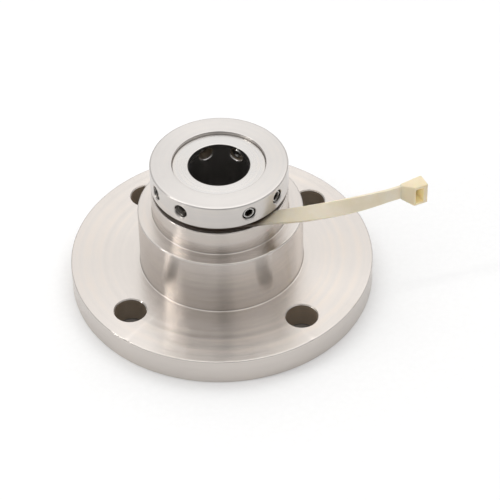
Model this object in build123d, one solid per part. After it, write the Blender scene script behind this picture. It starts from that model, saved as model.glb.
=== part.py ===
from build123d import *
import os
from math import cos, degrees, radians, sin

# A single cartridge mechanical seal for a 35 mm shaft, set at its gap by a nylon tie.
#
# +Z runs along the shaft, out of the machine. The origin is the centre of the flange's
# underside, which bolts to the machine. Angles are degrees about +Z, from +X.
#
# Three groups move apart: the gland with its seat stands still, the rotor turns with the
# shaft, and the spring-loaded face slides along the rotor as it turns with it.

# ---------------------------------------------------------------- driving sizes, mm
# clearances
slide_gap = 0.05  # radial, pieces of one group slid on or into one another
float_gap = 0.3  # the floating face group past the rotor, and the seat in its pocket
lapped_gap = 0.02  # between the two lapped faces
throat_gap = 1.5  # gland throat round the turning sleeve

# gland body
flange_diameter = 175.0
flange_thickness = 16.0
flange_edge = 0.6
hub_diameter = 94.6
hub_height = 36.6
hub_edge = 0.8
step_diameter = 78.0
step_height = 15.4
step_edge = 0.6
chamber_diameter = 77.0
bolt_circle = 137.5
bolt_count = 4
bolt_hole = 18.0
bolt_angle = -49.35

# gasket in the flange's underside
gasket_inner = 83.0
gasket_width = 10.0
gasket_thickness = 2.0

# shaft sleeve
shaft_diameter = 35.0
sleeve_wall = 5.0
sleeve_head_wall = 9.0
sleeve_lift = 3.0
sleeve_edge = 0.6

# drive collar and its screws
setting_gap = 4.0
collar_diameter = 78.2
collar_height = 14.9
collar_edge = 1.0
recess_depth = 1.9
screw_diameter = 8.0
drive_screw_inset = 5.6  # how much shorter a drive screw is than the way down to the shaft
clamp_screw_inset = 2.5  # and a clamp screw than the way down to the sleeve
screw_socket = 4.0
screw_spread = 15.5  # each screw stands this many degrees to one side of a bolt
# how deep each screw stands below the collar's surface, bolt by bolt, never past its inset
drive_screw_depths = [1.0, 4.8, 1.0, 3.4]
clamp_screw_depths = [1.2, 2.5, 2.5, 2.5]

# spring holder on the sleeve's lower end
holder_lift = 2.0  # the holder above the sleeve's lower end
holder_height = 16.0
holder_wall = 13.4
drive_pin_diameter = 4.0
drive_pin_depth = 8.0
drive_pin_circle = 64.6
drive_pin_reach = 3.5  # into the rotary face
drive_pin_count = 3

# wave spring
spring_space = 3.2
spring_thickness = 0.6
spring_width = 4.0
spring_inner = 49.0
spring_waves = 3
wave_stations = 12

# floating face group
thrust_height = 5.0
thrust_wall = 11.5
face_travel = 2.0
face_body_height = 8.0
nose_height = 3.0
nose_width = 3.6  # of the nose's face that the seat covers

# stationary seat
seat_height = 10.0
seat_wall = 7.3
seat_clear = 0.7  # lets the sleeve's head pass up through the seat
seat_pin_diameter = 3.0
seat_pin_length = 7.5
seat_pin_reach = 3.0
seat_pin_count = 2

# O-rings
seal_section = 3.0
seal_squeeze = 0.3
sleeve_seal_section = 2.4
sleeve_seal_rise = 12.0
seat_seal_rise = 1.6  # the seat's groove above its lapped face

# nylon tie
strap_width = 9.0
strap_thickness = 1.8
strap_gap = 0.4  # between the sleeve and the wrap's inner edge
strap_wrap = 250.0  # degrees round the sleeve
strap_exit = -82.0
wrap_stations = 24
free_stations = 12
straight_length = 35.0
flat_length = 22.0
twist_end = 92.0
free_length = 100.3
strap_bend = 16.0  # degrees turned past the straight run
head_length = 13.6
head_depth = 8.8
head_height = 13.5
head_slope = 5.4
nose_length = 3.6  # over which the head widens to its height
nose_edge = 0.3  # the nose's step past the strap's edges
slot_length = 5.1
slot_height = 10.4
slot_wall = 0.4
slot_throat = 2.5  # left open past the pawl
pawl_slope = 0.6  # how far the pawl's back slopes in at its upper end
pawl_levels = [0.3, 0.7, 0.8]  # shares of the head's depth

# ---------------------------------------------------------------- radii and levels
shaft_r = shaft_diameter / 2
sleeve_r = shaft_r + sleeve_wall
sleeve_head_r = shaft_r + sleeve_head_wall
flange_r = flange_diameter / 2
hub_r = hub_diameter / 2
step_r = step_diameter / 2
chamber_r = chamber_diameter / 2
collar_r = collar_diameter / 2
collar_bore_r = sleeve_head_r + slide_gap
throat_r = sleeve_head_r + throat_gap
seat_bore_r = sleeve_head_r + seat_clear
seat_r = seat_bore_r + seat_wall
pocket_r = seat_r + float_gap
seat_pin_r = (throat_r + pocket_r) / 2  # in the middle of the shoulder behind the seat
holder_bore_r = sleeve_r + slide_gap
holder_r = holder_bore_r + holder_wall
thrust_bore_r = sleeve_r + float_gap
thrust_r = thrust_bore_r + thrust_wall
nose_r = seat_bore_r + nose_width
drive_pin_r = drive_pin_circle / 2
seal_depth = seal_section - seal_squeeze
seal_groove_width = seal_section + 2 * slide_gap
sleeve_seal_depth = sleeve_seal_section - seal_squeeze
screw_hole_r = screw_diameter / 2 + slide_gap
drive_screw_length = collar_r - shaft_r - drive_screw_inset
clamp_screw_length = collar_r - collar_bore_r - slide_gap - clamp_screw_inset
strap_radius = sleeve_head_r + strap_gap + strap_width / 2

z_hub = flange_thickness + hub_height
z_step = z_hub + step_height
z_collar = z_step + setting_gap
z_collar_top = z_collar + collar_height
z_screws = z_collar + collar_height / 2
z_sleeve_top = z_collar_top - recess_depth
z_holder = sleeve_lift + holder_lift
z_holder_top = z_holder + holder_height
z_thrust = z_holder_top + spring_space
z_face = z_thrust + thrust_height
z_nose = z_face + face_body_height
z_lapped = z_nose + nose_height
z_seat = z_lapped + lapped_gap
z_shoulder = z_seat + seat_height
z_seat_groove = z_seat + seat_seal_rise
z_sleeve_seal = sleeve_lift + sleeve_seal_rise
z_pin_top = z_face + drive_pin_reach
z_seat_pin = z_shoulder - seat_pin_reach
z_strap = z_step + slide_gap + strap_thickness / 2

bolt_angles = [bolt_angle + 360 / bolt_count * i for i in range(bolt_count)]
# a drive screw and a clamp screw flank each bolt, in turn on its left and on its right
drive_angles = [angle - screw_spread * (-1) ** i for i, angle in enumerate(bolt_angles)]
clamp_angles = [angle + screw_spread * (-1) ** i for i, angle in enumerate(bolt_angles)]
seat_pin_angles = [360 / seat_pin_count * i for i in range(seat_pin_count)]
drive_pin_angles = [360 / drive_pin_count * i + 90 for i in range(drive_pin_count)]


# ---------------------------------------------------------------- shared shapes
def turned(points):
    """The solid that an (r, z) outline makes when it is turned about the shaft's axis."""
    outline = Polyline([(r, 0, z) for r, z in points], close=True)
    return revolve(make_face(outline), Axis.Z)


def ring(r_in, r_out, z_low, z_high, edge=0.0):
    """A turned ring, whose upper outer corner may be chamfered."""
    points = [(r_in, z_low), (r_out, z_low), (r_out, z_high - edge)]
    points += [(r_out - edge, z_high)] if edge else []
    return turned(points + [(r_in, z_high)])


def upright(radius, z_low, z_high):
    """A cylinder along Z between two levels."""
    return Pos(0, 0, z_low) * Cylinder(radius, z_high - z_low, align=(Align.CENTER, Align.CENTER, Align.MIN))


def round_the_axis(shape, distance, angle):
    """A shape moved out from the axis and turned about it."""
    return Rot(0, 0, angle) * Pos(distance, 0, 0) * shape


def radial(shape, z, angle):
    """A shape that was made along +Z from the origin, laid along a radius at a level."""
    return Rot(0, 0, angle) * Pos(0, 0, z) * Rot(0, 90, 0) * shape


# ---------------------------------------------------------------- gland group
def make_gland_body():
    """Flange, hub and step turned in one piece, bored for the chamber and the seat."""
    outline = [
        (chamber_r, 0),
        (flange_r, 0),
        (flange_r, flange_thickness - flange_edge),
        (flange_r - flange_edge, flange_thickness),
        (hub_r, flange_thickness),
        (hub_r, z_hub - hub_edge),
        (hub_r - hub_edge, z_hub),
        (step_r, z_hub),
        (step_r, z_step - step_edge),
        (step_r - step_edge, z_step),
        (throat_r, z_step),
        (throat_r, z_shoulder),
        (pocket_r, z_shoulder),
        (pocket_r, z_seat),
        (chamber_r, z_seat),
    ]
    body = turned(outline)
    for angle in bolt_angles:
        body -= round_the_axis(upright(bolt_hole / 2, 0, flange_thickness), bolt_circle / 2, angle)
    body -= upright(gasket_inner / 2 + gasket_width + slide_gap, 0, gasket_thickness)
    pin_hole = upright(seat_pin_diameter / 2 + slide_gap, z_shoulder, z_seat_pin + seat_pin_length)
    for angle in seat_pin_angles:
        body -= round_the_axis(pin_hole, seat_pin_r, angle)
    return body


def make_gland_gasket():
    inner = gasket_inner / 2
    return ring(inner, inner + gasket_width, 0, gasket_thickness)


def make_stationary_seat():
    """The seat ring, with an O-ring groove in its rim and a notch over each pin."""
    floor_r = seat_r - seal_depth
    z_groove_top = z_seat_groove + seal_groove_width
    outline = [
        (seat_bore_r, z_seat),
        (seat_r, z_seat),
        (seat_r, z_seat_groove),
        (floor_r, z_seat_groove),
        (floor_r, z_groove_top),
        (seat_r, z_groove_top),
        (seat_r, z_shoulder),
        (seat_bore_r, z_shoulder),
    ]
    notch_width = seat_pin_diameter + 2 * float_gap
    notch_depth = seat_r - seat_pin_r + notch_width / 2
    notch = Box(2 * notch_depth, notch_width, 2 * (seat_pin_reach + float_gap))
    seat = turned(outline)
    for angle in seat_pin_angles:
        seat -= round_the_axis(Pos(0, 0, z_shoulder) * notch, seat_r, angle)
    return seat


def make_seat_o_ring():
    floor_r = seat_r - seal_depth
    return ring(
        floor_r + slide_gap,
        pocket_r - slide_gap,
        z_seat_groove + slide_gap,
        z_seat_groove + seal_groove_width - slide_gap,
    )


def make_seat_pin(angle):
    pin = upright(seat_pin_diameter / 2, z_seat_pin, z_seat_pin + seat_pin_length)
    return round_the_axis(pin, seat_pin_r, angle)


# ---------------------------------------------------------------- nylon tie
def tie_point(s):
    """The strap's centre line at a distance past its exit, as a point and a heading in degrees.

    Distances below zero lie on the wrap. Past it the line leaves along the tangent, runs
    straight, and then turns gently to the left.
    """
    angle = strap_exit + degrees(min(s, 0) / strap_radius)
    heading = angle + 90
    straight = min(max(s, 0), straight_length)
    x = strap_radius * cos(radians(angle)) + straight * cos(radians(heading))
    y = strap_radius * sin(radians(angle)) + straight * sin(radians(heading))
    curved = max(s - straight_length, 0)
    bend_r = (free_length - straight_length) / radians(strap_bend)
    bent = heading + degrees(curved / bend_r)
    x += bend_r * (sin(radians(bent)) - sin(radians(heading)))
    y -= bend_r * (cos(radians(bent)) - cos(radians(heading)))
    return (x, y, z_strap), bent


def tie_twist(s):
    """Degrees of twist: none on the step, then steadily to a quarter turn before the head."""
    return 90 * min(max((s - flat_length) / (twist_end - flat_length), 0), 1)


def strap_section(s):
    """The strap's section at a distance past its exit."""
    point, heading = tie_point(s)
    ahead = Vector(cos(radians(heading)), sin(radians(heading)), 0)
    left = Vector(-ahead.Y, ahead.X, 0)
    twist = radians(tie_twist(s))
    across = left * cos(twist) + Vector(0, 0, 1) * sin(twist)
    return Plane(origin=point, x_dir=across, z_dir=ahead) * Rectangle(strap_width, strap_thickness)


def make_nylon_tie():
    """One moulded tie: a flat wrap in the gap, a free end that twists upright, and its head."""
    wrap_length = strap_radius * radians(strap_wrap)
    wrapped = [-wrap_length * (1 - i / wrap_stations) for i in range(wrap_stations)]
    twisting = (free_length - flat_length) / free_stations
    free = [0] + [flat_length + twisting * i for i in range(free_stations + 1)]
    strap = loft([strap_section(s) for s in wrapped + free], ruled=True)
    return strap + make_tie_head()


def make_head_block():
    """A block whose nose slopes back in plan and widens in height from the strap's neck."""
    plan = [
        (0, 0),
        (head_length, 0),
        (head_length, head_depth),
        (head_slope, head_depth),
        (0, strap_thickness),
    ]
    neck = strap_width / 2 + nose_edge
    full = head_height / 2
    side = [
        (0, -neck),
        (nose_length, -full),
        (head_length, -full),
        (head_length, full),
        (nose_length, full),
        (0, neck),
    ]
    block = extrude(make_face(Polyline(plan, close=True)), full, both=True)
    return block & Rot(90, 0, 0) * extrude(make_face(Polyline(side, close=True)), head_depth, both=True)


def make_tie_head():
    """The head, cut through for the strap's tail and its pawl."""
    block = make_head_block()
    left = head_slope + slot_wall
    right = left + slot_length
    pawl_back = right - slot_throat
    pawl_tip, pawl_shoulder, pawl_root = [head_depth * level for level in pawl_levels]
    cut = [
        (left, head_depth),
        (right, head_depth),
        (right, 0),
        (pawl_back, 0),
        (pawl_back, pawl_tip),
        (left + pawl_slope, pawl_shoulder),
        (left, pawl_root),
    ]
    block -= extrude(make_face(Polyline(cut, close=True)), slot_height / 2, both=True)
    point, heading = tie_point(free_length)
    # the head's own x runs on along the strap, its y towards the right, from the strap's left face
    turn = Rot(0, 0, heading) * Pos(0, strap_thickness / 2, 0) * mirror(block, Plane.XZ)
    return Pos(*point) * turn


# ---------------------------------------------------------------- rotor group
def make_shaft_sleeve():
    """The sleeve: thin below for the seal, thick above, with holes that let the drive screws through."""
    z_head = z_shoulder - (sleeve_head_wall - sleeve_wall)
    seal_floor = shaft_r + sleeve_seal_depth
    seal_top = z_sleeve_seal + sleeve_seal_section
    outline = [
        (shaft_r, sleeve_lift),
        (sleeve_r, sleeve_lift),
        (sleeve_r, z_head),
        (sleeve_head_r, z_shoulder),
        (sleeve_head_r, z_sleeve_top - sleeve_edge),
        (sleeve_head_r - sleeve_edge, z_sleeve_top),
        (shaft_r, z_sleeve_top),
        (shaft_r, seal_top),
        (seal_floor, seal_top),
        (seal_floor, z_sleeve_seal),
        (shaft_r, z_sleeve_seal),
    ]
    sleeve = turned(outline)
    for angle in drive_angles:
        sleeve -= radial(upright(screw_hole_r, 0, collar_r), z_screws, angle)
    return sleeve


def make_sleeve_o_ring():
    return ring(
        shaft_r + slide_gap,
        shaft_r + sleeve_seal_depth - slide_gap,
        z_sleeve_seal + slide_gap,
        z_sleeve_seal + sleeve_seal_section - slide_gap,
    )


def make_drive_collar():
    """The collar round the sleeve's head, drilled right through for its screws."""
    collar = ring(collar_bore_r, collar_r, z_collar, z_collar_top, collar_edge)
    for angle in drive_angles + clamp_angles:
        collar -= radial(upright(screw_hole_r, 0, collar_diameter), z_screws, angle)
    return collar


def make_set_screws(angles, depths, length):
    """Socket set screws in the collar, each at its own depth."""
    hexagon = extrude(RegularPolygon(screw_socket / 2, 6, major_radius=False), screw_socket)
    solids = []
    for angle, depth in zip(angles, depths):
        r_end = collar_r - depth
        screw = upright(screw_diameter / 2, r_end - length, r_end) - Pos(0, 0, r_end - screw_socket) * hexagon
        solids.append(radial(screw, z_screws, angle))
    return Compound(solids)


def make_spring_holder():
    """The ring that carries the spring and the drive pins, pressed on the sleeve."""
    holder = ring(holder_bore_r, holder_r, z_holder, z_holder_top)
    hole = upright(drive_pin_diameter / 2 + slide_gap, z_holder_top - drive_pin_depth, z_holder_top)
    for angle in drive_pin_angles:
        holder -= round_the_axis(hole, drive_pin_r, angle)
    return holder


def make_drive_pin(angle):
    """A pin in the holder that reaches up through the thrust ring's slot into the face's."""
    pin = upright(drive_pin_diameter / 2, z_holder_top - drive_pin_depth + slide_gap, z_pin_top)
    return round_the_axis(pin, drive_pin_r, angle)


def pin_slot(z_low, z_high):
    """The open slot that a drive pin slides in, as wide as the pin and its clearance."""
    width = drive_pin_diameter + 2 * float_gap
    depth = thrust_r - drive_pin_r + width / 2
    return Pos(0, 0, (z_low + z_high) / 2) * Box(2 * depth, width, z_high - z_low)


# ---------------------------------------------------------------- floating face group
def spring_section(angle):
    """The wave spring's section at an angle: a flat rectangle that rides up and down the waves."""
    middle = (z_holder_top + z_thrust) / 2
    swing = (spring_space - spring_thickness) / 2 - slide_gap
    outward = Vector(cos(radians(angle)), sin(radians(angle)), 0)
    level = Vector(0, 0, middle + swing * cos(radians(spring_waves * angle)))
    centre = outward * (spring_inner / 2 + spring_width / 2) + level
    along = Vector(-outward.Y, outward.X, 0)
    return Plane(origin=centre, x_dir=outward, z_dir=along) * Rectangle(spring_width, spring_thickness)


def make_wave_spring():
    """One wave washer between the holder and the thrust ring: troughs touch one, crests the other."""
    wave = 360 / spring_waves
    span = wave / wave_stations
    spring = Part()
    for i in range(spring_waves):
        spring += loft([spring_section(wave * i + span * j) for j in range(wave_stations + 1)], ruled=True)
    return spring


def make_thrust_ring():
    """The ring that the spring pushes up under the face, slotted for the drive pins."""
    thrust = ring(thrust_bore_r, thrust_r, z_thrust, z_face)
    for angle in drive_pin_angles:
        thrust -= round_the_axis(pin_slot(z_thrust, z_face), thrust_r, angle)
    return thrust


def make_rotary_face():
    """The carbon face: a lapped nose on a body that is slotted for the pins and bored for its O-ring."""
    seal_r = sleeve_r + slide_gap + seal_section
    outline = [
        (seal_r, z_face),
        (thrust_r, z_face),
        (thrust_r, z_nose),
        (nose_r, z_nose),
        (nose_r, z_lapped),
        (thrust_bore_r, z_lapped),
        (thrust_bore_r, z_face + seal_groove_width),
        (seal_r, z_face + seal_groove_width),
    ]
    face = turned(outline)
    slot = pin_slot(z_face, z_pin_top + face_travel + float_gap)
    for angle in drive_pin_angles:
        face -= round_the_axis(slot, thrust_r, angle)
    return face


def make_face_o_ring():
    return ring(
        sleeve_r + 2 * slide_gap,
        sleeve_r + seal_section,
        z_face + slide_gap,
        z_face + seal_groove_width - slide_gap,
    )


# ---------------------------------------------------------------- all pieces
pieces = {
    "gland_body": make_gland_body(),
    "gland_gasket": make_gland_gasket(),
    "stationary_seat": make_stationary_seat(),
    "seat_o_ring": make_seat_o_ring(),
    "nylon_tie": make_nylon_tie(),
    "shaft_sleeve": make_shaft_sleeve(),
    "sleeve_o_ring": make_sleeve_o_ring(),
    "drive_collar": make_drive_collar(),
    "drive_set_screws": make_set_screws(drive_angles, drive_screw_depths, drive_screw_length),
    "clamp_set_screws": make_set_screws(clamp_angles, clamp_screw_depths, clamp_screw_length),
    "spring_holder": make_spring_holder(),
    "wave_spring": make_wave_spring(),
    "thrust_ring": make_thrust_ring(),
    "rotary_face": make_rotary_face(),
    "face_o_ring": make_face_o_ring(),
}
for number, angle in enumerate(seat_pin_angles, 1):
    pieces[f"seat_pin_{number}"] = make_seat_pin(angle)
for number, angle in enumerate(drive_pin_angles, 1):
    pieces[f"drive_pin_{number}"] = make_drive_pin(angle)

os.makedirs("parts", exist_ok=True)
for name, piece in pieces.items():
    export_step(piece, f"parts/{name}.step")
    print(name, round(piece.volume))
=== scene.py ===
# %% [markdown]
# # A cartridge mechanical seal, dressed for a product picture
# A cartridge seal is a pump's shaft seal that arrives in one piece: a flanged gland, a sleeve
# that turns with the shaft, a drive collar full of set screws, and two lapped rings hidden
# inside. A nylon tie in the gap below the collar keeps it at its setting until it is fitted.
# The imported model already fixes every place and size, so this lesson only adds what a plain
# solid lacks: broken edges, screw threads, lathe marks, and the light that shows them.

# %% Load the fixed frame
import bmesh
import bpy
import numpy as np
from mathutils import Matrix, Vector


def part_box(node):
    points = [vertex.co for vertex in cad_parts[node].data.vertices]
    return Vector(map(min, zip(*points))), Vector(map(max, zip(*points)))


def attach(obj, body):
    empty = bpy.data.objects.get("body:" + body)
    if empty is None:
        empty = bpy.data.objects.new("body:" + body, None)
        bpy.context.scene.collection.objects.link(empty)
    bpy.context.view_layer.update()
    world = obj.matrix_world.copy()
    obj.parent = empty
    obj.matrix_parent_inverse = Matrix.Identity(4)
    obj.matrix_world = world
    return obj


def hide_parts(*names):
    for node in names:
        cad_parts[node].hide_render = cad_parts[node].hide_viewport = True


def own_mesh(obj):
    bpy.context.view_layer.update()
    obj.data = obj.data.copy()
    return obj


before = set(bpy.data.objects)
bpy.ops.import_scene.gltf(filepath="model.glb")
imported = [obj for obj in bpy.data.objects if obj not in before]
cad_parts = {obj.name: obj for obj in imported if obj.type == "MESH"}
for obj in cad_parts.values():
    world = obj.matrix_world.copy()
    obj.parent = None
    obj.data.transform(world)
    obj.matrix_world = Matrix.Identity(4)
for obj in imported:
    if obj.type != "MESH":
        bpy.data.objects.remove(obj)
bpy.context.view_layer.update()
mm = 0.001

# %% [markdown]
# ## The sizes that the pieces share
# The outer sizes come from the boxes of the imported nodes, so a piece can't grow past its solid.
# The inner ones, such as the hub's radius, are named here in millimetres, as the solids have them.

# %% Sizes and levels
gland_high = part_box("gland_body")[1] / mm
collar_low, collar_high = [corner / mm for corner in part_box("drive_collar")]
sleeve_low, sleeve_high = [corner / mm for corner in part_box("shaft_sleeve")]
flange_r, z_step = gland_high.x, gland_high.z
collar_r, z_collar, z_collar_top = collar_high.x, collar_low.z, collar_high.z
sleeve_head_r, z_sleeve_low, z_sleeve_top = sleeve_high.x, sleeve_low.z, sleeve_high.z
z_screws = (z_collar + z_collar_top) / 2
shaft_r = 17.5
sleeve_r = 22.5
z_flange = 16.0
hub_r, z_hub = 47.3, 52.6
step_r = 39.0
chamber_r = 38.5
throat_r = 28.0
pocket_r = 34.8
recess_r, recess_depth = 51.55, 2.0
groove_r, z_groove_low, z_groove_high = 19.6, 15.0, 17.4
z_seat, z_shoulder = 40.22, 50.22
collar_bore_r = 26.55
bolt_circle_r, bolt_hole_r = 68.75, 9.0
bolt_angles = np.radians(-49.35 + 90 * np.arange(4))
screw_spread = np.radians(15.5)
signs = (-1.0) ** np.arange(4)
drive_angles = bolt_angles - screw_spread * signs
clamp_angles = bolt_angles + screw_spread * signs
print("flange radius", round(flange_r, 2), "collar top", round(z_collar_top, 2))

# %% [markdown]
# ## From a grid of points to a mesh
# Nearly everything here is a surface with two parameters: one runs along an outline, the other
# round an axis or along a path. The points are worked out as one numpy array of rows and
# columns, and a single helper turns any such array into a mesh. It closes the grid onto itself
# in either direction, joins a row of points that has shrunk to a pole, and looks at the sign of
# the enclosed volume, so that the faces of a closed skin always point outwards.

# %% Mesh helpers
def signed_volume(points, quads):
    """A sixth of the sum of a . (b x c) over all the triangles: negative when they face inwards."""
    a, b, c, d = [points[quads[:, k]] for k in range(4)]
    first = np.einsum("ij,ij->i", a, np.cross(b, c))
    second = np.einsum("ij,ij->i", a, np.cross(c, d))
    return (first.sum() + second.sum()) / 6


def skin(name, grid, close_rows=True, close_columns=True):
    """A mesh object from grid[row, column] = (x, y, z) in millimetres, as quads.

    A direction that isn't closed must end in rows that have shrunk to one point.
    """
    rows, columns = grid.shape[:2]
    index = np.arange(rows * columns).reshape(rows, columns)
    if close_rows:
        index = np.vstack([index, index[:1]])
    if close_columns:
        index = np.hstack([index, index[:, :1]])
    quads = np.stack([index[:-1, :-1], index[:-1, 1:], index[1:, 1:], index[1:, :-1]], -1)
    quads = quads.reshape(-1, 4)
    points = grid.reshape(-1, 3) * mm
    if signed_volume(points, quads) < 0:
        quads = quads[:, ::-1]
    mesh = bpy.data.meshes.new(name)
    mesh.from_pydata(points.tolist(), [], quads.tolist())
    thing = bpy.data.objects.new(name, mesh)
    bpy.context.scene.collection.objects.link(thing)
    merge(thing)
    return thing


def merge(thing, distance=1e-7):
    """Joins points that fell together, such as the ones at a pole."""
    work = bmesh.new()
    work.from_mesh(thing.data)
    bmesh.ops.remove_doubles(work, verts=work.verts, dist=distance)
    bmesh.ops.dissolve_degenerate(work, dist=distance, edges=work.edges)
    work.to_mesh(thing.data)
    work.free()


def smooth(thing, degrees=28):
    """Smooth shading, with a crease wherever two faces meet at more than an angle."""
    mesh = thing.data
    mesh.polygons.foreach_set("use_smooth", np.ones(len(mesh.polygons), bool))
    mesh.set_sharp_from_angle(angle=np.radians(degrees))
    mesh.update()
    return thing


def turned(name, outline, count=256, shift=0.0):
    """A ring turned on a lathe: (r cos a, r sin a, z) for each (r, z) of a closed outline."""
    a = np.linspace(0, 2 * np.pi, count, endpoint=False) + shift
    r, z = outline[:, 0, None], outline[:, 1, None]
    return skin(name, np.stack([r * np.cos(a), r * np.sin(a), z + 0 * a], -1))


# %% [markdown]
# ## Outlines with broken edges
# A machinist breaks every sharp edge, and it is these narrow bands that catch the light. So each
# outline is a list of corners with a radius, and the helper swaps a corner for a short arc. It
# also leaves a point close to either end of the arc: that keeps the shading of the long flats
# flat, and puts the whole turn of the surface inside the edge.

# %% The rounded outline
def rounded(corners, steps=5, lead=0.25):
    """A closed outline whose corners (x, y, radius) have become arcs that touch both sides.

    An arc starts at radius * tan(half the turn) before the corner, and its points are
    centre + radius * (cos t, sin t). The lead is a point just outside each end.
    """
    spots = np.array([corner[:2] for corner in corners], float)
    radii = np.array([corner[2] for corner in corners], float)
    before = np.roll(spots, 1, 0) - spots
    after = np.roll(spots, -1, 0) - spots
    room = np.minimum(np.linalg.norm(before, axis=1), np.linalg.norm(after, axis=1))
    before /= np.linalg.norm(before, axis=1)[:, None]
    after /= np.linalg.norm(after, axis=1)[:, None]
    half = np.arccos(np.clip((before * after).sum(1), -1, 1)) / 2
    reach = radii / np.tan(half)
    line = []
    for spot, b, a, h, radius, cut, space in zip(spots, before, after, half, radii, reach, room):
        if radius == 0:
            line.append(spot[None])
            continue
        centre = spot + (a + b) / np.linalg.norm(a + b) * radius / np.sin(h)
        start, end = spot + b * cut - centre, spot + a * cut - centre
        share = np.linspace(0, 1, steps + 1)[:, None]
        sweep = np.pi - 2 * h
        arc = (np.sin((1 - share) * sweep) * start + np.sin(share * sweep) * end) / np.sin(sweep)
        gap = min(lead, (space / 2 - cut) / 2)
        ends = [spot + b * (cut + gap), spot + a * (cut + gap)]
        line.append(np.vstack([ends[0], centre + arc, ends[1]]))
    return np.vstack(line)


# %% [markdown]
# ## Drilling
# A hole across a turned surface is where a grid stops being practical. A Boolean with a cutter
# does it exactly: the cutter is the hole's own shape, with the countersink already on it, and
# the result replaces the mesh.

# %% Placing and cutting
def laid_radially(grid, angle, level):
    """Turns points whose z runs along a screw's axis so that it runs outwards along a radius.

    Along = (cos a, sin a, 0), across = (-sin a, cos a, 0) and up = (0, 0, 1).
    """
    along = np.array([np.cos(angle), np.sin(angle), 0])
    across = np.array([-np.sin(angle), np.cos(angle), 0])
    up = np.array([0, 0, 1.0])
    moved = grid[..., 2:3] * along + grid[..., 0:1] * across + grid[..., 1:2] * up
    return moved + np.array([0, 0, level])


def round_bar(profile, count=48):
    """A solid of revolution about z from (radius, z) points that start and end on the axis."""
    a = np.linspace(0, 2 * np.pi, count, endpoint=False)
    r, z = profile[:, 0, None], profile[:, 1, None]
    return np.stack([r * np.cos(a), r * np.sin(a), z + 0 * a], -1)


def join(name, things):
    """One object from several, in the order given."""
    points, faces, start = [], [], 0
    for thing in things:
        mesh = thing.data
        points += [vertex.co[:] for vertex in mesh.vertices]
        faces += [[start + i for i in polygon.vertices] for polygon in mesh.polygons]
        start += len(mesh.vertices)
        bpy.data.objects.remove(thing)
    mesh = bpy.data.meshes.new(name)
    mesh.from_pydata(points, [], faces)
    whole = bpy.data.objects.new(name, mesh)
    bpy.context.scene.collection.objects.link(whole)
    return whole


def cut_away(thing, cutters):
    """Takes the cutters' shapes out of a piece, and removes the cutters."""
    tool = join("cutter", cutters)
    modifier = thing.modifiers.new("cut", "BOOLEAN")
    modifier.operation = "DIFFERENCE"
    modifier.solver = "EXACT"
    modifier.object = tool
    bpy.context.view_layer.update()
    finished = thing.evaluated_get(bpy.context.evaluated_depsgraph_get())
    result = bpy.data.meshes.new_from_object(finished)
    thing.modifiers.clear()
    thing.data = result
    bpy.data.objects.remove(tool)
    return thing


# %% [markdown]
# ## The gland
# Flange, hub and step are one piece of bar stock, turned in one set-up. The outline below is
# the one a lathe hand would follow, with a small radius left by the tool in each inner corner
# and a broken edge on each outer one. Support points stand a little inside the two edges that
# have been knocked, so that a knock bends only the faces beside it. The four bolt holes get a
# light countersink, and the knocks are pushed into the points before the holes are drilled.

# %% Turn the gland and drill it
flange_support, hub_support = 2.5, 2.0
gland_corners = [
    (chamber_r, recess_depth, 0.3),
    (recess_r, recess_depth, 0.3),
    (recess_r, 0, 0.3),
    (flange_r, 0, 0.6),
    (flange_r, z_flange - flange_support, 0),
    (flange_r, z_flange, 0.6),
    (flange_r - flange_support, z_flange, 0),
    (hub_r, z_flange, 0.6),
    (hub_r, z_hub - hub_support, 0),
    (hub_r, z_hub, 0.7),
    (hub_r - hub_support, z_hub, 0),
    (step_r, z_hub, 0.5),
    (step_r, z_step, 0.6),
    (throat_r, z_step, 0.4),
    (throat_r, z_shoulder, 0.2),
    (pocket_r, z_shoulder, 0.3),
    (pocket_r, z_seat, 0.3),
    (chamber_r, z_seat, 0.5),
]


def knocked(thing, marks):
    """Pushes points near each mark (angle, radius, z, size, depth) towards the body of the piece.

    The push is depth * exp(-(distance / size) ** 2) down, and as much inwards.
    """
    mesh = thing.data
    spots = np.empty(len(mesh.vertices) * 3)
    mesh.vertices.foreach_get("co", spots)
    spots = spots.reshape(-1, 3)
    for angle, radius, z, size, depth in marks:
        outward = np.array([np.cos(angle), np.sin(angle), 0])
        centre = (outward * radius + np.array([0, 0, z])) * mm
        away = np.linalg.norm(spots - centre, axis=1) / (size * mm)
        spots -= np.exp(-(away**2))[:, None] * (outward + np.array([0, 0, 1.0])) * depth * mm
    mesh.vertices.foreach_set("co", spots.ravel())
    mesh.update()


def bolt_cutter(angle):
    """A drill of the hole's radius that widens to a countersink at both faces of the flange."""
    widening = 0.6
    r = bolt_hole_r
    profile = np.array(
        [
            (0, -2),
            (r + widening + 2, -2),
            (r, widening),
            (r, z_flange - widening),
            (r + widening + 2, z_flange + 2),
            (0, z_flange + 2),
        ],
        float,
    )
    grid = round_bar(profile, 72)
    grid += np.array([np.cos(angle), np.sin(angle), 0]) * bolt_circle_r
    return skin("bolt_drill", grid, close_rows=False)


gland = turned("turned_gland", rounded(gland_corners), 480)
knocks = [
    (np.radians(-128), flange_r, z_flange, 1.0, 0.4),
    (np.radians(-55), flange_r, z_flange, 1.0, 0.4),
    (np.radians(-54), hub_r, z_hub, 0.8, 0.3),
]
knocked(gland, knocks)
cut_away(gland, [bolt_cutter(angle) for angle in bolt_angles])
smooth(gland)
print("gland:", len(gland.data.polygons), "faces")

# %% [markdown]
# ## The drive collar and the sleeve
# The collar is a plain ring with a softly rounded top edge and eight threaded holes. The sleeve
# ends nearly two millimetres below the collar's top, with four holes that let the drive screws
# reach the shaft. The threads are cut in the outer end of each hole only, where they can be seen.

# %% Thread and screw hole
thread_pitch = 1.25


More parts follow.
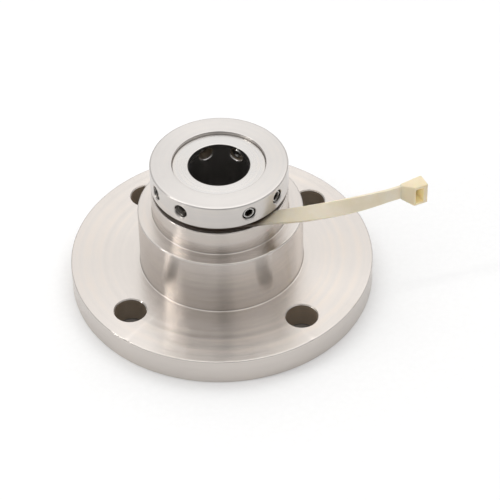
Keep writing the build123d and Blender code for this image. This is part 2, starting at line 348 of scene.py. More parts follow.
def zigzag(turn):
    """A triangle wave between 0 and 1 with a period of one turn."""
    return np.abs(2 * (turn % 1) - 1)


def hole_cutter(angle, r_from, r_to, hole_r=4.05, thread=0.35, sink=0.75):
    """A screw hole's shape along a radius, threaded near its outer end, with a countersink."""
    s = np.arange(r_to - 6.5, r_to - 0.9, thread_pitch / 6)
    a = np.linspace(0, 2 * np.pi, 48, endpoint=False)
    radius = hole_r + thread * zigzag(s[:, None] / thread_pitch - a / (2 * np.pi))
    body = np.stack([radius * np.cos(a), radius * np.sin(a), s[:, None] + 0 * a], -1)
    low = round_bar(np.array([(0, r_from), (hole_r, r_from), (hole_r, s[0] - 0.3)]))
    top = np.array([(hole_r, r_to - 0.6), (hole_r + sink + 1, r_to + 1.2), (0, r_to + 1.2)])
    whole = np.vstack([low, body, round_bar(top)])
    return skin("screw_drill", laid_radially(whole, angle, z_screws), False)


def plain_cutter(angle, r_from, r_to, hole_r=4.05, sink=0.35):
    """A plain hole along a radius, with a broken edge at its inner end."""
    profile = [
        (0, r_from),
        (hole_r + sink + 2, r_from),
        (hole_r + sink, shaft_r),
        (hole_r, shaft_r + sink),
        (hole_r, r_to),
        (0, r_to),
    ]
    bar = round_bar(np.array(profile, float))
    return skin("sleeve_drill", laid_radially(bar, angle, z_screws), False)


# %% Turn the collar and the sleeve
collar_corners = [
    (collar_bore_r, z_collar, 0.3),
    (collar_r, z_collar, 0.5),
    (collar_r, z_collar_top, 1.1),
    (collar_bore_r, z_collar_top, 0.35),
]
collar = turned("turned_collar", rounded(collar_corners), 256)
all_angles = [*drive_angles, *clamp_angles]
cut_away(collar, [hole_cutter(a, collar_bore_r - 2, collar_r) for a in all_angles])
smooth(collar)

z_head = z_shoulder - (sleeve_head_r - sleeve_r)
sleeve_corners = [
    (shaft_r, z_sleeve_low, 0.5),
    (sleeve_r, z_sleeve_low, 0.5),
    (sleeve_r, z_head, 1.0),
    (sleeve_head_r, z_shoulder, 1.0),
    (sleeve_head_r, z_sleeve_top, 0.6),
    (shaft_r, z_sleeve_top, 0.4),
    (shaft_r, z_groove_high, 0.15),
    (groove_r, z_groove_high, 0.15),
    (groove_r, z_groove_low, 0.15),
    (shaft_r, z_groove_low, 0.15),
]
sleeve = turned("turned_sleeve", rounded(sleeve_corners, steps=4), 192)
cut_away(sleeve, [plain_cutter(a, shaft_r - 3, sleeve_head_r + 3) for a in drive_angles])
smooth(sleeve)
print("collar:", len(collar.data.polygons), "sleeve:", len(sleeve.data.polygons), "faces")

# %% [markdown]
# ## Socket set screws
# A set screw is one surface from the cup point to the bottom of its socket: rows run along the
# screw and columns round it. The thread is a wave whose phase turns with the angle, which makes
# it a true helix. In the socket the radius follows a hexagon instead of a circle.

# %% One grid per screw
socket_flats = 4.0


def hexagon(a):
    """The distance from the centre to a hexagon's side: half the flats / cos(angle from a side)."""
    return socket_flats / 2 / np.cos((a + np.pi / 6) % (np.pi / 3) - np.pi / 6)


def set_screw(angle, r_tip, length, spin, radius=4.0):
    """Cup point, helical thread, chamfered end and hexagon socket, laid along a radius.

    Thread radius = radius - depth * zigzag(s / pitch - a / 2 pi), with the depth fading out
    over the last pitch at either end.
    """
    columns = 60
    a = np.linspace(0, 2 * np.pi, columns, endpoint=False)

    def round_rows(points):
        return round_bar(np.array(points, float), columns)

    cup = round_rows([(0, 0.9), (0.9, 0.75), (1.9, 0.0), (2.2, 0.0), (3.2, 1.0)])
    s = np.arange(1.3, length - 0.5, thread_pitch / 8)
    fade = np.clip(np.minimum(s - 1.3, length - 0.5 - s) / thread_pitch, 0, 1)
    wave = zigzag(s[:, None] / thread_pitch - a / (2 * np.pi))
    r = radius - 0.62 * (wave * fade[:, None]) - 0.35 * (1 - fade[:, None])
    thread = np.stack([r * np.cos(a), r * np.sin(a), s[:, None] + 0 * a], -1)
    end = round_rows([(3.45, length - 0.35), (3.15, length), (2.75, length)])
    six = hexagon(a + spin)
    levels = np.array([length, length - 0.45, length - 0.6, length - 3.8])
    widths = np.array([1.13, 1.0, 0.99, 0.98])
    socket = six * widths[:, None]
    socket[0] = np.maximum(socket[0], 2.45)
    walls = np.stack([socket * np.cos(a), socket * np.sin(a), levels[:, None] + 0 * a], -1)
    floor = round_rows([(1.3, length - 4.0), (0, length - 4.5)])
    grid = np.vstack([cup, thread, end, walls, floor])
    grid[..., 2] += r_tip
    return skin("set_screw", laid_radially(grid, angle, z_screws), close_rows=False)


drive_depths = [1.0, 4.8, 1.0, 3.4]
clamp_depths = [1.2, 2.5, 2.5, 2.5]
spins = np.radians([8, 22, 41, 13])


def screw_set(name, angles, depths, length):
    """The four screws of one kind, each at its own depth and turned its own way."""
    tips = [collar_r - depth - length for depth in depths]
    screws = [set_screw(a, tip, length, spin) for a, tip, spin in zip(angles, tips, spins)]
    return smooth(join(name, screws), 35)


drive_screws = screw_set("drive_screws", drive_angles, drive_depths, 16.0)
clamp_screws = screw_set("clamp_screws", clamp_angles, clamp_depths, 10.0)
print("screws:", len(drive_screws.data.polygons) + len(clamp_screws.data.polygons), "faces")

# %% [markdown]
# ## The nylon tie
# The tie is a moulded strap that leaves the gap flat, and turns on its edge on the way to its
# head. Its section is a rectangle with soft edges, and every station along the path carries a
# copy of it, turned by the twist. A real strap also has a fine ladder, too small to show here.

# %% The strap's path
strap_width, strap_thickness = 9.0, 1.8
strap_radius, strap_wrap, strap_exit = 31.4, 250.0, -82.0
straight_length, flat_length = 35.0, 22.0
twist_end, free_length, strap_bend = 92.0, 100.3, 16.0
z_strap = z_step + 0.05 + strap_thickness / 2


def strap_line(s):
    """Centre points, headings and twists (radians) at distances s past the strap's exit.

    Before the exit the line is the wrap's circle; then a straight run; then an arc of
    radius (free - straight) / bend that turns to the left.
    """
    angle = np.radians(strap_exit) + np.minimum(s, 0) / strap_radius
    heading = angle + np.pi / 2
    run = np.clip(s, 0, straight_length)
    bend_r = (free_length - straight_length) / np.radians(strap_bend)
    bent = heading + np.maximum(s - straight_length, 0) / bend_r
    bend_x = bend_r * (np.sin(bent) - np.sin(heading))
    bend_y = bend_r * (np.cos(heading) - np.cos(bent))
    x = strap_radius * np.cos(angle) + run * np.cos(heading) + bend_x
    y = strap_radius * np.sin(angle) + run * np.sin(heading) + bend_y
    twist = np.pi / 2 * np.clip((s - flat_length) / (twist_end - flat_length), 0, 1)
    return np.stack([x, y, z_strap + 0 * s], -1), bent, twist


def make_strap():
    """The strap: point + across * u + through * v, for each (u, v) of the section."""
    start = -strap_radius * np.radians(strap_wrap)
    wrapped = np.linspace(start, 0, 160, endpoint=False)
    s = np.concatenate([wrapped, np.linspace(0, free_length + 0.8, 200)])
    point, heading, twist = strap_line(s)
    ahead = np.stack([np.cos(heading), np.sin(heading), 0 * s], -1)
    left = np.stack([-np.sin(heading), np.cos(heading), 0 * s], -1)
    up = np.array([0, 0, 1.0])
    across = left * np.cos(twist)[:, None] + up * np.sin(twist)[:, None]
    through = np.cross(ahead, across)
    w, t = strap_width / 2, strap_thickness / 2
    section = rounded([(-w, -t, 0.4), (w, -t, 0.4), (w, t, 0.4), (-w, t, 0.4)], steps=4, lead=0.3)
    u, v = section[:, 0], section[:, 1]
    grid = point[:, None] + across[:, None] * u[None, :, None] + through[:, None] * v[None, :, None]
    ends = grid[[0, -1]].mean(1, keepdims=True) + 0 * grid[[0, -1]]
    return skin("strap", np.concatenate([ends[:1], grid, ends[1:]]), close_rows=False)


strap = smooth(make_strap())

# %% [markdown]
# ## The tie's head
# The head is a short block with a sloped nose. Its rounded outline is carried up the block and
# shrinks a little at the two ends, which gives the soft moulded edge all round. Near the strap
# the block is only a little wider than the strap, and it widens along the nose. The slot is cut
# right through, and its sloping wall stands for the pawl that would grip the strap.

# %% The head and its slot
head_length, head_depth, head_height, head_slope = 13.6, 8.8, 13.5, 5.4
nose_length, nose_edge = 3.6, 0.3
slot_length, slot_height, slot_wall, slot_throat = 5.1, 10.4, 0.4, 2.5


def block(corners, half_height, edge, steps=4):
    """An outline carried upwards, and shrunk towards its middle near both of its ends.

    The shrink follows a quarter circle: inset = edge * (1 - cos t), height = edge * sin t.
    """
    line = rounded(corners, steps=steps, lead=0.2)
    middle = line.mean(0)
    t = np.linspace(0, np.pi / 2, steps + 1)
    low = -half_height + edge * (1 - np.sin(t[::-1]))
    rise = np.concatenate([low, half_height - edge * (1 - np.sin(t))])
    inset = np.concatenate([edge * (1 - np.cos(t[::-1])), edge * (1 - np.cos(t))])
    reach = np.abs(line - middle).max(0)
    scale = 1 - inset[:, None] / reach
    rows = middle + (line - middle) * scale[:, None, :]
    grid = np.concatenate([rows, rise[:, None, None] + 0 * rows[..., :1]], -1)
    caps = np.array([[*middle, rise[0]], [*middle, rise[-1]]])[:, None] + 0 * grid[:2]
    return np.concatenate([caps[:1], grid, caps[1:]])


def strap_end():
    """The point on the strap's left face at its end, and the directions ahead and to the right."""
    point, heading, _ = strap_line(np.array([free_length]))
    ahead = np.array([np.cos(heading[0]), np.sin(heading[0]), 0])
    right = np.array([np.sin(heading[0]), -np.cos(heading[0]), 0])
    return point[0] - right * strap_thickness / 2, ahead, right


def beside_strap(grid):
    """Points given as (ahead, to the right, up) from the end of the strap."""
    origin, ahead, right = strap_end()
    up = np.array([0, 0, 1.0])
    return origin + grid[..., 0:1] * ahead + grid[..., 1:2] * right + grid[..., 2:3] * up


head_corners = [
    (0, 0, 0.5),
    (head_length, 0, 0.7),
    (head_length, head_depth, 0.7),
    (head_slope, head_depth, 0.7),
    (0, strap_thickness, 0.6),
]
slot_left = head_slope + slot_wall
slot_right = slot_left + slot_length
slot_corners = [
    (slot_left, head_depth + 1, 0),
    (slot_right, head_depth + 1, 0),
    (slot_right, -1, 0),
    (slot_right - slot_throat, -1, 0),
    (slot_right - slot_throat, head_depth * 0.3, 0.3),
    (slot_left + 0.6, head_depth * 0.7, 0.5),
    (slot_left, head_depth * 0.8, 0),
]
head_grid = block(head_corners, head_height / 2, 0.7)
neck = strap_width / head_height + 2 * nose_edge / head_height
head_grid[..., 2] *= np.interp(head_grid[..., 0], [0, nose_length], [neck, 1])
head = skin("tie_head", beside_strap(head_grid), close_rows=False)
slot = skin("slot", beside_strap(block(slot_corners, slot_height / 2, 0.3)), close_rows=False)
cut_away(head, [slot])
tie = smooth(join("moulded_tie", [strap, head]), 32)
print("tie:", len(tie.data.polygons), "faces")

# %% [markdown]
# ## What works inside
# The rubber rings are squeezed in their grooves, so their section is a rounded square and not
# a circle. The wave spring is a flat strip that rides up and down three times on its way round.

# %% Rubber rings, gasket and spring
ring_widths = {"seat_o_ring": 2.9, "face_o_ring": 2.9, "sleeve_o_ring": 2.0, "gland_gasket": 10.0}


def rubber_ring(node, roundness):
    """A ring with the section of its node's box, its corners rounded."""
    low, high = [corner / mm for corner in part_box(node)]
    r_out, r_in = high.x, high.x - ring_widths[node]
    spots = [(r_in, low.z), (r_out, low.z), (r_out, high.z), (r_in, high.z)]
    corners = [(r, z, roundness) for r, z in spots]
    return smooth(turned("moulded_" + node, rounded(corners, steps=8, lead=0.05), 144), 40)


rings = {node: rubber_ring(node, 0.9) for node in ("seat_o_ring", "face_o_ring", "sleeve_o_ring")}
rings["gland_gasket"] = rubber_ring("gland_gasket", 0.15)

spring_low, spring_high = [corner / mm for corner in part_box("wave_spring")]
spring_width, spring_thickness, spring_waves = 4.0, 0.6, 3


def make_wave_spring():
    """z = middle + swing * cos(3 a) + v and r = mean radius + u, for each (u, v) of the section."""
    a = np.linspace(0, 2 * np.pi, 240, endpoint=False)
    w, t = spring_width / 2, spring_thickness / 2
    corners = [(-w, -t, 0.12), (w, -t, 0.12), (w, t, 0.12), (-w, t, 0.12)]
    section = rounded(corners, steps=3, lead=0.1)
    r = spring_high.x - w + section[:, 0, None]
    middle = (spring_low.z + spring_high.z) / 2
    swing = (spring_high.z - spring_low.z - spring_thickness) / 2
    z = middle + swing * np.cos(spring_waves * a) + section[:, 1, None]
    return smooth(skin("wave_strip", np.stack([r * np.cos(a), r * np.sin(a), z], -1)), 40)


spring = make_wave_spring()

# %% [markdown]
# ## Turned steel
# A lathe leaves fine rings, and those rings are what makes turned steel look the way it does:
# light spreads across them and hardly at all along them. Two things give that. The shader is
# anisotropic, with its tangent worked out to lie across the rings on every face, up a cylinder
# and outwards on a flat. And a noise that is stretched round the axis shades the rings
# themselves. It reads the distance from the axis and the level, and the angle only faintly.

# %% Node helpers
def new_material(name):
    """A material with an empty node tree, and a function that adds and links a node to it."""
    material = bpy.data.materials.new(name)
    material.use_nodes = True
    tree = material.node_tree
    tree.nodes.clear()

    def node(kind, settings=None, **links):
        made = tree.nodes.new("ShaderNode" + kind)
        for key, value in (settings or {}).items():
            setattr(made, key, value)
        for key, value in links.items():
            numbered = key[0] == "i" and key[1:].isdigit()
            socket = made.inputs[int(key[1:]) if numbered else key.replace("_", " ")]
            if isinstance(value, bpy.types.NodeSocket):
                tree.links.new(value, socket)
            else:
                socket.default_value = value
        return made

    return material, node


def ramp(node, value, stops):
    """A colour ramp through (place, colour) stops."""
    made = node("ValToRGB", None, i0=value)
    band = made.color_ramp
    while len(band.elements) < len(stops):
        band.elements.new(0.5)
    for element, (place, colour) in zip(band.elements, stops):
        element.position = place
        element.color = (*colour, 1)
    return made.outputs[0]


def ring_coordinates(node):
    """Round-the-axis coordinates: object position, distance from the axis, and unit direction."""
    place = node("TexCoord").outputs["Object"]
    flat = node("VectorMath", {"operation": "MULTIPLY"}, i0=place, i1=(1, 1, 0)).outputs[0]
    distance = node("VectorMath", {"operation": "LENGTH"}, i0=flat).outputs["Value"]
    direction = node("VectorMath", {"operation": "NORMALIZE"}, i0=flat).outputs[0]
    return place, distance, direction


def across_the_rings(node, direction):
    """The tangent across the lathe's rings: the normal x (the axis x the outward direction)."""
    groove = node("VectorMath", {"operation": "CROSS_PRODUCT"}, i0=(0, 0, 1), i1=direction).outputs[0]
    spaces = {"vector_type": "VECTOR", "convert_from": "OBJECT", "convert_to": "WORLD"}
    turned_groove = node("VectorTransform", spaces, i0=groove).outputs[0]
    normal = node("NewGeometry").outputs["Normal"]
    return node("VectorMath", {"operation": "CROSS_PRODUCT"}, i0=normal, i1=turned_groove).outputs[0]


# %% The steel itself
def turned_steel(name, colour, roughness, anisotropy, rings_per_mm, depth, waviness=0.04, radial=1.0):
    """Steel with lathe rings: noise over the radius and the level, and faintly over the angle.

    With radial at 0 the rings follow the level alone, as a drill leaves them in an upright hole.
    """
    material, node = new_material(name)
    place, distance, direction = ring_coordinates(node)
    level = node("SeparateXYZ", None, i0=place).outputs[2]
    around = node("VectorMath", {"operation": "SCALE"}, i0=direction, Scale=0.12).outputs[0]
    parts = node("SeparateXYZ", None, i0=around)
    fine = rings_per_mm / mm
    high = node("Math", {"operation": "MULTIPLY"}, i0=level, i1=fine).outputs[0]
    out = node("Math", {"operation": "MULTIPLY"}, i0=distance, i1=fine * radial).outputs[0]
    spot = node("CombineXYZ", None, i0=parts.outputs[0], i1=parts.outputs[1], i2=high).outputs[0]
    kind = {"noise_dimensions": "4D"}
    lines = node("TexNoise", kind, Vector=spot, W=out, Scale=1.0, Detail=1.0, Roughness=0.6)
    lines = lines.outputs["Fac"]
    cloud = node("TexNoise", None, Vector=place, Scale=26.0, Detail=3.0, Roughness=0.55).outputs["Fac"]
    handled = node("TexNoise", None, Vector=place, Scale=190.0, Detail=2.0, Roughness=0.6).outputs["Fac"]
    blend = 0.0
    for layer, share in ((lines, 0.45), (cloud, 0.4), (handled, 0.15)):
        blend = node("Math", {"operation": "MULTIPLY_ADD"}, i0=layer, i1=share, i2=blend).outputs[0]
    c = np.array(colour)
    warm = c * np.array([1.03, 1.0, 0.965])
    stops = [(0.3, c * 0.93), (0.5, c), (0.7, np.minimum(warm * 1.06, 1))]
    tint = ramp(node, blend, stops)
    least, most = roughness - waviness, roughness + waviness
    gloss = node("MapRange", None, Value=blend, i1=0.3, i2=0.7, i3=least, i4=most)
    bump = node("Bump", None, Height=lines, Strength=1.0, Distance=depth * mm)
    shader = node(
        "BsdfPrincipled",
        None,
        Base_Color=tint,
        Metallic=1.0,
        Roughness=gloss.outputs[0],
        Anisotropic=anisotropy,
        Tangent=across_the_rings(node, direction),
        Normal=bump.outputs[0],
    )
    node("OutputMaterial", None, Surface=shader.outputs[0])
    return material


body_steel = turned_steel("turned_body_steel", (0.635, 0.592, 0.556), 0.23, 0.95, 0.3, 0.004)
collar_steel = turned_steel("faced_collar_steel", (0.625, 0.597, 0.573), 0.32, 0.6, 0.4, 0.002)
drilled_steel = turned_steel("drilled_hole_steel", (0.66, 0.58, 0.49), 0.5, 0.0, 0.6, 0.02, 0.1, 0.0)
# Painted shade: a near-black steel for the shade inside a screw's socket.
socket_painted_shade_steel = turned_steel("painted_shade_socket_steel", (0.13, 0.115, 0.10), 0.35, 0.0, 0.5, 0.004)
# Painted shade: a darker steel for the shade on the threads inside the collar's holes.
thread_painted_shade_steel = turned_steel("painted_shade_thread_steel", (0.36, 0.34, 0.32), 0.2, 0.0, 0.5, 0.004)
sleeve_steel = turned_steel("turned_sleeve_steel", (0.61, 0.592, 0.575), 0.26, 0.6, 0.5, 0.003)
screw_steel = turned_steel("bright_screw_steel", (0.44, 0.43, 0.415), 0.22, 0.0, 2.0, 0.004)
pin_steel = turned_steel("ground_pin_steel", (0.55, 0.55, 0.55), 0.25, 0.0, 3.0, 0.003)
spring_steel = turned_steel("spring_strip_steel", (0.52, 0.52, 0.54), 0.3, 0.3, 2.0, 0.004)

# %% [markdown]
# ## Nylon, rubber, carbon, ceramic and gasket sheet
# Aged nylon is milky: light goes in a little way, so it gets some subsurface scattering, a soft
# gloss and a patchy yellow. The strap in the gap gets painted shade, a dark brown that fades out
# along the strap past the gap. The others are dull or lapped, and each gets its own fine grain.

# %% The other finishes
def grained(name, colour, roughness, scale, contrast, bump_mm, metallic=0.0, **extra):
    """A plain finish whose colour, roughness and surface are moved a little by noise."""
    material, node = new_material(name)
    place = node("TexCoord").outputs["Object"]
    broad = node("TexNoise", None, Vector=place, Scale=scale * 0.12, Detail=3.0).outputs["Fac"]
    grain = node("TexNoise", None, Vector=place, Scale=scale, Detail=4.0, Roughness=0.6).outputs["Fac"]
    both = node("Math", {"operation": "MULTIPLY_ADD"}, i0=grain, i1=0.5, i2=0.0).outputs[0]
    both = node("Math", {"operation": "MULTIPLY_ADD"}, i0=broad, i1=0.5, i2=both).outputs[0]
    c = np.array(colour)
    tint = ramp(node, both, [(0.3, c * (1 - contrast)), (0.7, np.minimum(c * (1 + contrast), 1))])
    least, most = roughness - 0.05, roughness + 0.05
    gloss = node("MapRange", None, Value=both, i1=0.3, i2=0.7, i3=least, i4=most)
    bump = node("Bump", None, Height=grain, Strength=1.0, Distance=bump_mm * mm)
    shader = node(
        "BsdfPrincipled",
        None,
        Base_Color=tint,
        Roughness=gloss.outputs[0],
        Normal=bump.outputs[0],
        Metallic=metallic,
        **extra,
    )
    node("OutputMaterial", None, Surface=shader.outputs[0])
    return material


rubber = grained("squeezed_rubber", (0.022, 0.022, 0.023), 0.5, 1500, 0.25, 0.01)
carbon = grained("lapped_carbon", (0.045, 0.046, 0.05), 0.35, 1800, 0.2, 0.004)
ceramic = grained("lapped_silicon_carbide", (0.09, 0.092, 0.1), 0.2, 2500, 0.15, 0.002)
sheet = grained("skived_gasket_sheet", (0.78, 0.76, 0.72), 0.55, 900, 0.06, 0.01)


# Painted shade on the strap in the gap: a dark brown that fades out along x past the gap.
gap_shade_start, gap_shade_end, gap_shade_soft = 20.0, 60.0, 1.5
head_start, head_end = 100.0, 105.0
painted_gap_shade_brown, head_yellow = (0.07, 0.046, 0.028, 1), (0.85, 0.72, 0.46, 1)


def aged_nylon(name, stops, glow=0.0):
    """Milky ivory with slow patches of yellow, a little light let in, and fine moulding grain.

    The wrap in the gap gets painted shade, a dark brown for the shade there. The unshaded share =
    how far past the step's edge the point lies * how far along x, so that the painted shade fades
    as the strap comes out of the gap. The thick head is yellower than the strap. The glow is a
    painted glow for light that thin walls let through.
    """
    material, node = new_material(name)
    place = node("TexCoord").outputs["Object"]
    patch = node("TexNoise", None, Vector=place, Scale=70.0, Detail=4.0, Roughness=0.6).outputs["Fac"]
    grain = node("TexNoise", None, Vector=place, Scale=900.0, Detail=2.0).outputs["Fac"]
    tint = ramp(node, patch, stops)
    # Painted shade: the dark brown is mixed in where the strap lies in the gap, fading out along x.
    _, distance, _ = ring_coordinates(node)
    inner, outer = (step_r - gap_shade_soft) * mm, (step_r + gap_shade_soft) * mm
    outside = node("MapRange", None, Value=distance, i1=inner, i2=outer).outputs[0]
    x = node("SeparateXYZ", None, i0=place).outputs[0]
    along = node("MapRange", None, Value=x, i1=gap_shade_start * mm, i2=gap_shade_end * mm).outputs[0]
    unshaded = node("Math", {"operation": "MULTIPLY"}, i0=outside, i1=along).outputs[0]
    fading = [(0, 0), (0.15, 0.55), (0.4, 0.78), (0.65, 0.87), (1, 1)]
    unshaded = ramp(node, unshaded, [(at, (share,) * 3) for at, share in fading])
    at_head = node("MapRange", None, Value=x, i1=head_start * mm, i2=head_end * mm, i4=0.6)
    colours = {"data_type": "RGBA"}
    tint = node("Mix", colours, i0=at_head.outputs[0], i6=tint, i7=head_yellow).outputs[2]
    mixed = node("Mix", colours, i0=unshaded, i6=painted_gap_shade_brown, i7=tint)
    bump = node("Bump", None, Height=grain, Strength=1.0, Distance=0.012 * mm)
    shader = node(
        "BsdfPrincipled",
        None,
        Base_Color=mixed.outputs[2],
        Roughness=0.42,
        Normal=bump.outputs[0],
        Subsurface_Weight=0.35,
        Subsurface_Radius=(1.0, 0.7, 0.35),
        Subsurface_Scale=1.2 * mm,
        Emission_Color=(1, 0.83, 0.42, 1),
        Emission_Strength=glow,
    )
    node("OutputMaterial", None, Surface=shader.outputs[0])
    return material


ivory = [(0.3, (0.81, 0.72, 0.53)), (0.5, (0.84, 0.76, 0.59)), (0.7, (0.88, 0.81, 0.67))]
# Painted glow: the slot's walls get lighter stops and a faint glow for the light through the head's thin
# walls.
slot_painted_glow_stops = [(0.3, (0.97, 0.92, 0.68)), (0.7, (0.98, 0.94, 0.74))]
nylon = aged_nylon("aged_nylon", ivory)
slot_painted_glow_nylon = aged_nylon("slot_painted_glow_nylon", slot_painted_glow_stops, glow=0.1)

# %% [markdown]
# ## Putting the pieces on their bodies
# Each dressed piece rides on the body of the solid that it stands for. The spring rides on the
# rotor, and its lower side rests on the holder. The nodes whose own shape is right only get
# their material.

# %% Ride and replace
dressed = [
    (gland, "gland", "gland_body", "stainless_body", body_steel),
    (tie, "gland", "nylon_tie", "nylon", nylon),
    (rings["gland_gasket"], "gland", "gland_gasket", "gasket", sheet),
    (rings["seat_o_ring"], "gland", "seat_o_ring", "elastomer", rubber),
    (collar, "rotor", "drive_collar", "stainless_collar", collar_steel),
    (sleeve, "rotor", "shaft_sleeve", "stainless_sleeve", sleeve_steel),
    (drive_screws, "rotor", "drive_set_screws", "screw_steel", screw_steel),
    (clamp_screws, "rotor", "clamp_set_screws", "screw_steel", screw_steel),
    (rings["sleeve_o_ring"], "rotor", "sleeve_o_ring", "elastomer", rubber),
    (rings["face_o_ring"], "face", "face_o_ring", "elastomer", rubber),
    (spring, "rotor", "wave_spring", "spring_steel", spring_steel),
]
for piece, body, node_name, slot_name, material in dressed:
    piece.data.materials.clear()
    piece.data.materials.append(material)
    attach(piece, body)
    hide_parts(node_name)

# %% [markdown]
# ## Finishes and painted shade inside the holes
# A drilled wall is duller and browner than the turned skin. A cut thread gets painted shade, a
# darker steel for the shade deep in its hole, and a socket gets painted shade, a near-black steel.
# The slot in the tie's head gets a painted glow, a lighter nylon that gives off a faint light. The
# faces are picked by where their middles lie, because the Boolean leaves no other trace of which
# face was cut by which tool, and they get a second material on the same piece.

# %% Line the holes
# A little slack round the slot, just past a socket's corners, and just under the head's skin.
slack = 0.05
socket_reach = 2.42
skin_depth = 0.4


def face_centres(thing):
    """The middle of every face, in millimetres."""
    centres = np.empty(len(thing.data.polygons) * 3)
    thing.data.polygons.foreach_get("center", centres)
    return centres.reshape(-1, 3) / mm


def in_bolt_holes(centres):
    """Which points lie in a bolt hole: nearer to its axis than its countersink's middle."""
    axes = bolt_circle_r * np.stack([np.cos(bolt_angles), np.sin(bolt_angles)], -1)
    return np.linalg.norm(centres[:, None, :2] - axes, axis=2).min(1) < bolt_hole_r + 0.2


def in_screw_holes(centres, angles, r_low, r_high, reach=4.45):
    """Which points lie within reach of a screw's axis, between two distances from the main axis."""
    inside = np.zeros(len(centres), bool)
    for angle in angles:
        along = centres[:, 0] * np.cos(angle) + centres[:, 1] * np.sin(angle)
        across = centres[:, 1] * np.cos(angle) - centres[:, 0] * np.sin(angle)
        near = np.hypot(across, centres[:, 2] - z_screws) < reach
        inside |= near & (along > r_low) & (along < r_high)
    return inside


def in_tie_slot(centres):
    """Which points lie on the walls of the slot in the tie's head."""
    origin, ahead, right = strap_end()
    away = centres - origin
    x, y, z = away @ ahead, away @ right, away[:, 2]
    inside = (x > slot_left - slack) & (x < slot_right + slack)
    inside &= np.abs(z) < slot_height / 2 + slack
    return inside & (y > skin_depth) & (y < head_depth - skin_depth)


def lined(thing, inside, material):
    """Gives the faces inside a hole a finish of their own."""
    thing.data.materials.append(material)
    thing.data.polygons.foreach_set("material_index", inside.astype(np.int32))


lined(gland, in_bolt_holes(face_centres(gland)), drilled_steel)
in_collar = in_screw_holes(face_centres(collar), all_angles, collar_bore_r, collar_r - 0.75)
lined(collar, in_collar, thread_painted_shade_steel)
in_sleeve = in_screw_holes(face_centres(sleeve), drive_angles, shaft_r + 0.3, sleeve_head_r)
lined(sleeve, in_sleeve, drilled_steel)
lined(tie, in_tie_slot(face_centres(tie)), slot_painted_glow_nylon)
for screws in (drive_screws, clamp_screws):
    centres = face_centres(screws)
    in_sockets = in_screw_holes(centres, all_angles, shaft_r + 3, collar_r, socket_reach)
    lined(screws, in_sockets, socket_painted_shade_steel)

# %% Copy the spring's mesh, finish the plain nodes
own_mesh(spring)

kept = {
    "stationary_seat": ceramic,
    "seat_pin_1": pin_steel,
    "seat_pin_2": pin_steel,
    "spring_holder": sleeve_steel,
    "drive_pin_1": pin_steel,
    "drive_pin_2": pin_steel,
    "drive_pin_3": pin_steel,
    "thrust_ring": sleeve_steel,
    "rotary_face": carbon,
}
for node_name, material in kept.items():
    node_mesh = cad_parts[node_name].data
    node_mesh.materials.clear()
    node_mesh.materials.append(material)
print(len(dressed), "pieces dressed,", len(kept), "nodes kept")

# %% [markdown]
# ## Floor, light and camera
# The seal stands on plain white paper in a bright tent. Polished metal shows its surroundings,
# so what counts is what each face mirrors: the flat tops look at the back, which is bright, and
# the upright sides look at the floor in front. The tent's levels began as a least-squares fit
# of renders with one light each to the brightness that was wanted, and were then rounded and
# changed. One narrow lamp on the left draws the bright line down the hub, and a soft
# one behind on the right lights its right edge. Where a person would stand in front, a gap in
# the light gives the hub a darker middle.

# %% The floor
def make_floor():
    """A wide flat sheet, just below the lowest face of the seal.

    Under the flange it is painted shade, a dark grey disc, so that no bright paper shows at the bottom
    of the bolt holes.
    """
    half = 3000.0
    painted_shade_r, paper_glow = flange_r - 4, 0.035
    line = np.linspace(-half, half, 9)
    x, y = np.meshgrid(line, line, indexing="ij")
    grid = np.stack([x, y, 0 * x - 0.02], -1)
    rows, columns = grid.shape[:2]
    index = np.arange(rows * columns).reshape(rows, columns)
    quads = np.stack([index[:-1, :-1], index[1:, :-1], index[1:, 1:], index[:-1, 1:]], -1)
    mesh = bpy.data.meshes.new("floor")
    mesh.from_pydata((grid.reshape(-1, 3) * mm).tolist(), [], quads.reshape(-1, 4).tolist())
    floor = bpy.data.objects.new("floor", mesh)
    bpy.context.scene.collection.objects.link(floor)
    material, node = new_material("white_paper")
    place = node("TexCoord").outputs["Object"]
    grain = node("TexNoise", None, Vector=place, Scale=300.0, Detail=2.0).outputs["Fac"]
    tint = ramp(node, grain, [(0.3, (0.93, 0.93, 0.93)), (0.7, (0.95, 0.95, 0.95))])
    middle = node("VectorMath", {"operation": "LENGTH"}, i0=place).outputs["Value"]
    paper = node("Math", {"operation": "GREATER_THAN"}, i0=middle, i1=painted_shade_r * mm).outputs[0]
    # Inside that radius the floor is painted shade: a dark grey disc under the flange.
    tint = node("Mix", {"data_type": "RGBA"}, i0=paper, i6=(0.2, 0.19, 0.18, 1), i7=tint).outputs[2]
    glow = node("Math", {"operation": "MULTIPLY"}, i0=paper, i1=paper_glow).outputs[0]
    shader = node(
        "BsdfPrincipled",
        None,
        Base_Color=tint,
        Roughness=0.9,
        Emission_Color=(1, 1, 1, 1),
        Emission_Strength=glow,
    )
    node("OutputMaterial", None, Surface=shader.outputs[0])
    mesh.materials.append(material)


make_floor()


# %% The light
# Heights in degrees, and each side's levels there: rounded from that fit, then changed.
heights = (0, 20, 40, 60, 90)
sides = {
    "front": (-90, (0.2, 0.25, 0.4, 1.05, 1.8)),
    "right": (0, (0.3, 0.4, 0.8, 1.4, 1.8)),
    "back": (90, (0.5, 0.75, 1.2, 2.1, 1.8)),
    "left": (180, (0.4, 0.5, 0.75, 1.1, 1.8)),
}
gap_angle, gap_core, gap_reach, gap_level = -86, 4, 20, 0.7


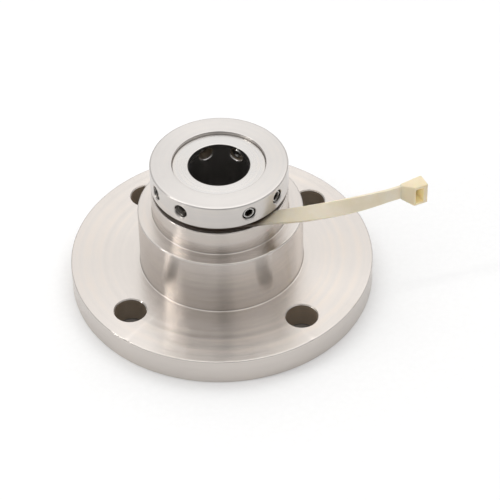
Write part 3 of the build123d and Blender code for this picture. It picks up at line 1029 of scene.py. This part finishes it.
def tent():
    """The surroundings as four soft walls, each with its own brightness at five heights.

    Level = sum over the walls of (1 - angle to the wall / 90) * level of the wall at the height.
    In front, where a person would stand, a narrow gap between the lights dims it to gap_level.
    """
    world = bpy.data.worlds.new("tent")
    world.use_nodes = True
    tree = world.node_tree
    tree.nodes.clear()

    def math(operation, *values):
        made = tree.nodes.new("ShaderNodeMath")
        made.operation = operation
        for socket, value in zip(made.inputs, values):
            if isinstance(value, bpy.types.NodeSocket):
                tree.links.new(value, socket)
            else:
                socket.default_value = value
        return made.outputs[0]

    parts = tree.nodes.new("ShaderNodeSeparateXYZ")
    tree.links.new(tree.nodes.new("ShaderNodeTexCoord").outputs["Generated"], parts.inputs[0])
    x, y, z = parts.outputs
    height = math("DIVIDE", math("ARCSINE", math("MAXIMUM", z, 0.0)), np.pi / 2)
    round_about = math("DIVIDE", math("ARCTAN2", y, x), np.pi / 2)

    def turn_from(angle):
        """How far round the direction is from an angle, in quarter turns."""
        away = math("WRAP", math("SUBTRACT", round_about, angle / 90), 2.0, -2.0)
        return math("ABSOLUTE", away)

    total = 0.0
    for angle, levels in sides.values():
        away = turn_from(angle)
        share = math("MAXIMUM", math("SUBTRACT", 1.0, away), 0.0)
        wall = tree.nodes.new("ShaderNodeValToRGB")
        tree.links.new(height, wall.inputs[0])
        band = wall.color_ramp
        while len(band.elements) < len(heights):
            band.elements.new(0.5)
        for element, at, level in zip(band.elements, heights, levels):
            element.position = at / 90
            element.color = (level, level, level, 1)
        total = math("MULTIPLY_ADD", share, wall.outputs[0], total)
    off_gap = turn_from(gap_angle)
    fade = tree.nodes.new("ShaderNodeMapRange")
    fade.interpolation_type = "SMOOTHSTEP"
    tree.links.new(off_gap, fade.inputs["Value"])
    fade.inputs["From Min"].default_value = gap_core / 90
    fade.inputs["From Max"].default_value = gap_reach / 90
    fade.inputs["To Min"].default_value = gap_level
    total = math("MULTIPLY", total, fade.outputs["Result"])
    back = tree.nodes.new("ShaderNodeBackground")
    tree.links.new(total, back.inputs["Strength"])
    back.inputs["Color"].default_value = (1, 1, 1, 1)
    out = tree.nodes.new("ShaderNodeOutputWorld")
    tree.links.new(back.outputs[0], out.inputs[0])
    bpy.context.scene.world = world


def lamp(name, place, aim, width, height, watts, colour=(1, 1, 1)):
    """A rectangular soft lamp that faces a point."""
    light = bpy.data.lights.new(name, "AREA")
    light.shape = "RECTANGLE"
    light.size, light.size_y = width, height
    light.energy = watts
    light.color = colour
    thing = bpy.data.objects.new(name, light)
    thing.location = place
    thing.rotation_euler = (Vector(aim) - Vector(place)).to_track_quat("-Z", "Y").to_euler()
    bpy.context.scene.collection.objects.link(thing)


tent()
hub_middle = (0, 0, 0.04)
lamp("left_strip", (-0.805, -0.207, 0.65), hub_middle, 0.015, 1.0, 1.4, (1, 0.98, 0.95))
lamp("right_box", (0.65, 0.7, 0.9), hub_middle, 0.4, 0.4, 0.35)

# %% The camera
# The view comes from a camera that was fitted to the seal's circles by least squares. Angles are
# in radians, and the distance, slides and lens in millimetres.
elevation, roll = 0.757, -0.022
distance, slide_x, slide_y = 1379.41, 16.107, 13.92
lens = 169.6
right_way = Vector((1, 0, 0))
up_way = Vector((0, np.sin(elevation), np.cos(elevation)))
back_way = Vector((0, -np.cos(elevation), np.sin(elevation)))
camera_x = right_way * np.cos(roll) + up_way * np.sin(roll)
camera_y = up_way * np.cos(roll) - right_way * np.sin(roll)
camera_data = bpy.data.cameras.new("camera")
camera_data.sensor_width = 36.0
camera_data.lens = lens
camera = bpy.data.objects.new("camera", camera_data)
spot = (camera_x * slide_x + camera_y * slide_y + back_way * distance) * mm
facing = Matrix((camera_x, camera_y, back_way)).transposed().to_4x4()
camera.matrix_world = Matrix.Translation(spot) @ facing
bpy.context.scene.collection.objects.link(camera)
bpy.context.scene.camera = camera
bpy.context.scene.view_settings.view_transform = "Standard"
print("camera at", [round(value, 3) for value in spot])
